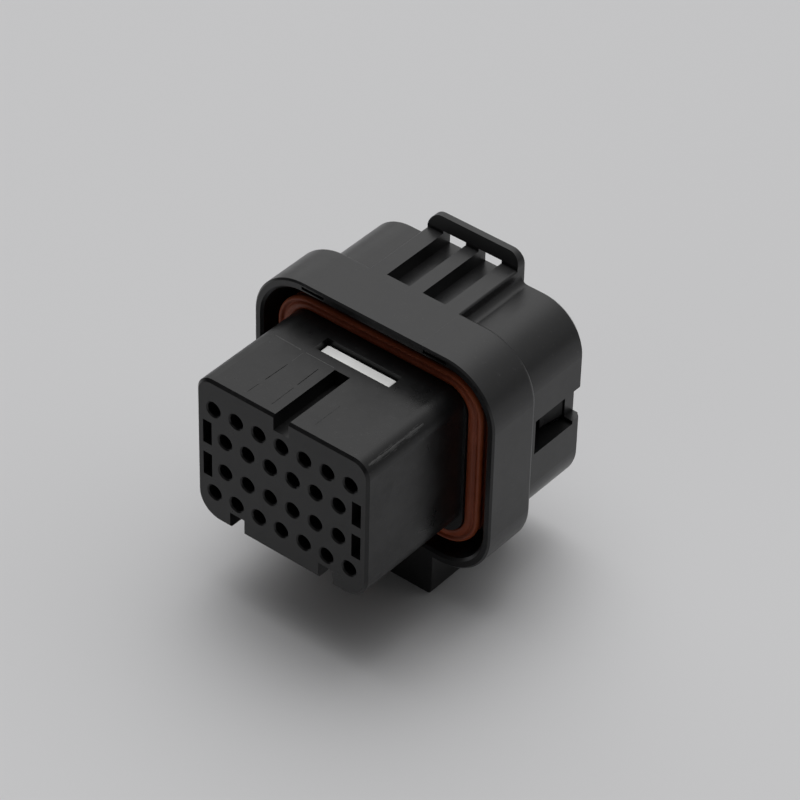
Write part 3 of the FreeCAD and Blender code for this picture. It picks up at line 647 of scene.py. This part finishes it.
# %% [markdown]
# ## Lines from the moulding tool
# Where two parts of a moulding tool meet, the plastic keeps a hair-thin raised line. The nose has
# them round the insert beside its slot, and the collar has one where two slides meet. Bump in the
# plastic could hint at them, but a strip with real height is part of the shape. So each is a low
# strip made from a grid, with a random height at every inner point. Its rim is sunk a little, so
# that it grows out of the surface it lies on. The lines round the insert are near black and almost
# without gloss, as painted shade of fine grooves; the pale lines carry a painted highlight.

# %% Lines from the moulding tool
SINK = 0.02 * MM
# The least share of its width and of its height that a strip keeps anywhere
NARROWEST, LOWEST = 0.7, 0.3
dice = random.Random(7)
# Near black and almost without gloss: painted shade of the fine grooves round the insert, put on
# raised strips
line_painted_shade = plastic(
    "line_painted_shade", colour=(0.002, 0.002, 0.002), speck=PALE_SPECK, speck_amount=0.0,
    smoothest=0.5, roughest=0.6, grain_depth=0.004 * MM, sheen=0.05,
)
# Pale: a painted highlight along the low ridges of the nose's step and the collar's line
line_painted_highlight = plastic(
    "line_painted_highlight", colour=(0.045, 0.045, 0.045), speck=PALE_SPECK, speck_amount=0.4,
    smoothest=0.4, roughest=0.5, grain_depth=0.006 * MM,
)


def add_strip(mesh, start, end, up, width, height, steps, across):
    """A closed low strip along a line, uneven on top and sunk round its rim."""
    along = end - start
    side = along.cross(up).normalized()
    place = Matrix((side * width / 2, along / 2, up)).transposed().to_4x4()
    place.translation = (start + end) / 2
    grid = bmesh.ops.create_grid(mesh, x_segments=across, y_segments=steps, size=1.0)["verts"]
    for vertex in grid:
        if vertex.is_boundary:
            vertex.co.z = -SINK
        else:
            vertex.co.x *= dice.uniform(NARROWEST, 1.0)
            vertex.co.z = height * dice.uniform(LOWEST, 1.0)
    bmesh.ops.holes_fill(mesh, edges=[edge for edge in mesh.edges if edge.is_boundary], sides=0)
    bmesh.ops.transform(mesh, matrix=place, verts=grid)


def add_strips(name, material, strips):
    """One piece made of several strips, their measures in millimetres."""
    mesh = bmesh.new()
    for start, end, up, width, height, steps, across in strips:
        add_strip(
            mesh, Vector(start) * MM, Vector(end) * MM, Vector(up).normalized(),
            width * MM, height * MM, steps, across,
        )
    finish_piece(name, mesh, material)


# Each strip: start, end, way out of the surface, width, height, steps along and steps across
UP = (0, 0, 1)
NOSE_TOP, COLLAR_TOP = 9.1, 13.05
add_strips("nose_insert_lines", line_painted_shade, [
    ((-5.2, 7.2, NOSE_TOP), (-5.3, 3.6, NOSE_TOP), UP, 0.17, 0.03, 18, 2),
    ((-5.35, 3.0, NOSE_TOP), (-5.4, 1.0, NOSE_TOP), UP, 0.13, 0.02, 10, 2),
    ((-2.35, 8.6, NOSE_TOP), (-2.3, 5.1, NOSE_TOP), UP, 0.17, 0.03, 18, 2),
    ((-2.3, 4.7, NOSE_TOP), (-2.25, 1.1, NOSE_TOP), UP, 0.13, 0.02, 18, 2),
    ((3.1, 5.6, NOSE_TOP), (3.1, 1.4, NOSE_TOP), UP, 0.1, 0.015, 20, 2),
])
add_strips("nose_step_line", line_painted_highlight, [
    ((-9.3, 9.85, NOSE_TOP), (-5.6, 9.75, NOSE_TOP), UP, 0.26, 0.03, 24, 3),
    ((-5.1, 9.7, NOSE_TOP), (-1.2, 9.7, NOSE_TOP), UP, 0.2, 0.025, 24, 3),
    ((-5.2, 9.6, NOSE_TOP), (-5.2, 7.6, NOSE_TOP), UP, 0.12, 0.02, 12, 2),
])
add_strips("collar_tool_line", line_painted_highlight, [
    ((5.95, 14.3, COLLAR_TOP), (5.95, 21.0, COLLAR_TOP), UP, 0.07, 0.015, 40, 2),
])

# %% [markdown]
# ## Flash and a painted highlight on the nose's upper edges
# Both round upper edges of the nose carry a ragged streak of flash, where the tool's halves close.
# Its pale colour is a painted highlight along the rounded edge. Flecks alone look like scratches.
# So a low line along the middle of each edge holds the streak together, and short flecks scattered
# round that line make it ragged. The right edge has the heavier one.

# %% Flash and a painted highlight on the nose's upper edges
EDGE_CENTRE_X, EDGE_CENTRE_Z, EDGE_RADIUS = 9.3, 7.1, 2.0
# Degrees from level, halfway round the edge
MIDDLE_OF_EDGE = 45
SEAM_START, SEAM_END, SEAM_WIDTH, SEAM_HEIGHT = 0.7, 9.4, 0.24, 0.012
# Steps along and across one strip
SEAM_STEPS, FLECK_STEPS = (60, 3), (8, 2)
# The dice choose a fleck's measures between these ends
FLECK_START, FLECK_LENGTH = (0.6, 8.2), (0.5, 1.6)
FLECK_WIDTH, FLECK_HEIGHT = (0.06, 0.16), (0.003, 0.007)
# How many flecks an edge carries, and how many degrees they scatter round it
RIGHT_FLECKS, LEFT_FLECKS = (110, 4.5), (50, 3)
# Pale, flecked colour: a painted highlight along the edge, on the raised flash
flash_painted_highlight = plastic(
    "flash_painted_highlight", colour=(0.04, 0.04, 0.04), speck=(0.14, 0.14, 0.14), speck_amount=0.8,
    smoothest=0.4, roughest=0.6, grain_depth=0.02 * MM,
)


def on_edge(side, degrees):
    """X, Z and the way out at an angle round one upper edge of the nose."""
    out_x, out_z = side * math.cos(math.radians(degrees)), math.sin(math.radians(degrees))
    return (
        side * EDGE_CENTRE_X + EDGE_RADIUS * out_x,
        EDGE_CENTRE_Z + EDGE_RADIUS * out_z,
        (out_x, 0, out_z),
    )


def seam(side):
    """The low continuous line under the flecks."""
    x, z, up = on_edge(side, MIDDLE_OF_EDGE)
    return ((x, SEAM_START, z), (x, SEAM_END, z), up, SEAM_WIDTH, SEAM_HEIGHT, *SEAM_STEPS)


def flecks(side, count, scatter):
    """Short strips scattered along the upper edge on one side of the nose."""
    strips = []
    for _ in range(count):
        x, z, up = on_edge(side, dice.gauss(MIDDLE_OF_EDGE, scatter))
        start, length = dice.uniform(*FLECK_START), dice.uniform(*FLECK_LENGTH)
        width, height = dice.uniform(*FLECK_WIDTH), dice.uniform(*FLECK_HEIGHT)
        strips.append(((x, start, z), (x, start + length, z), up, width, height, *FLECK_STEPS))
    return strips


right_flash_and_highlight = [seam(1)] + flecks(1, *RIGHT_FLECKS)
left_flash_and_highlight = [seam(-1)] + flecks(-1, *LEFT_FLECKS)
add_strips("nose_edge_streaks", flash_painted_highlight, right_flash_and_highlight + left_flash_and_highlight)
